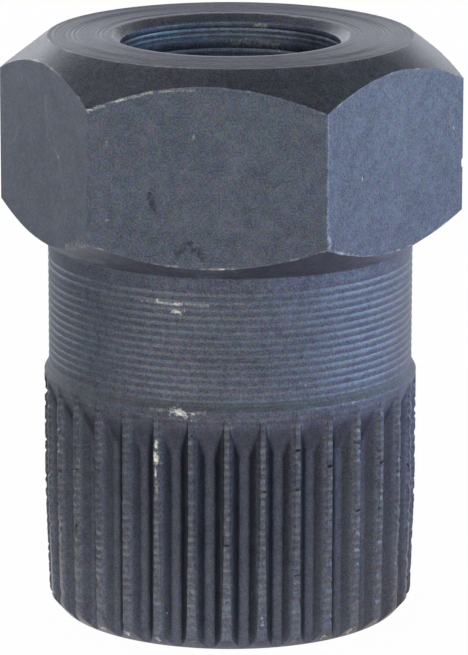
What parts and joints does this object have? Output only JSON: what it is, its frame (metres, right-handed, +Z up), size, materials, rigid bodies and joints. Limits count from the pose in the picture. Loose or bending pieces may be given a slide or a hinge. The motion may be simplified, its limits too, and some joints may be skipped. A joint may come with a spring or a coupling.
{
  "type": "knurled star nut",
  "caption": "Hexagon-headed steel sleeve with a straight serrated shank and a through bore; a spanner turns it to hold or drive a part with matching inner serration.",
  "frame": {"origin": "centre of the flat serrated end face, on the axis of the bore", "axes": "+Z up the bore's axis from the serrated end to the hexagon, -Y out of a flat of the hexagon, +X through a corner of the hexagon"},
  "size_m": [0.0254, 0.022, 0.032],
  "materials": {
    "blackened_steel": "dark blue-grey oxide over turned and milled steel, semi-matt, with bright chips on a few edges"
  },
  "bodies": {
    "root": {"star_nut": "blackened_steel"}
  },
  "joints": []
}
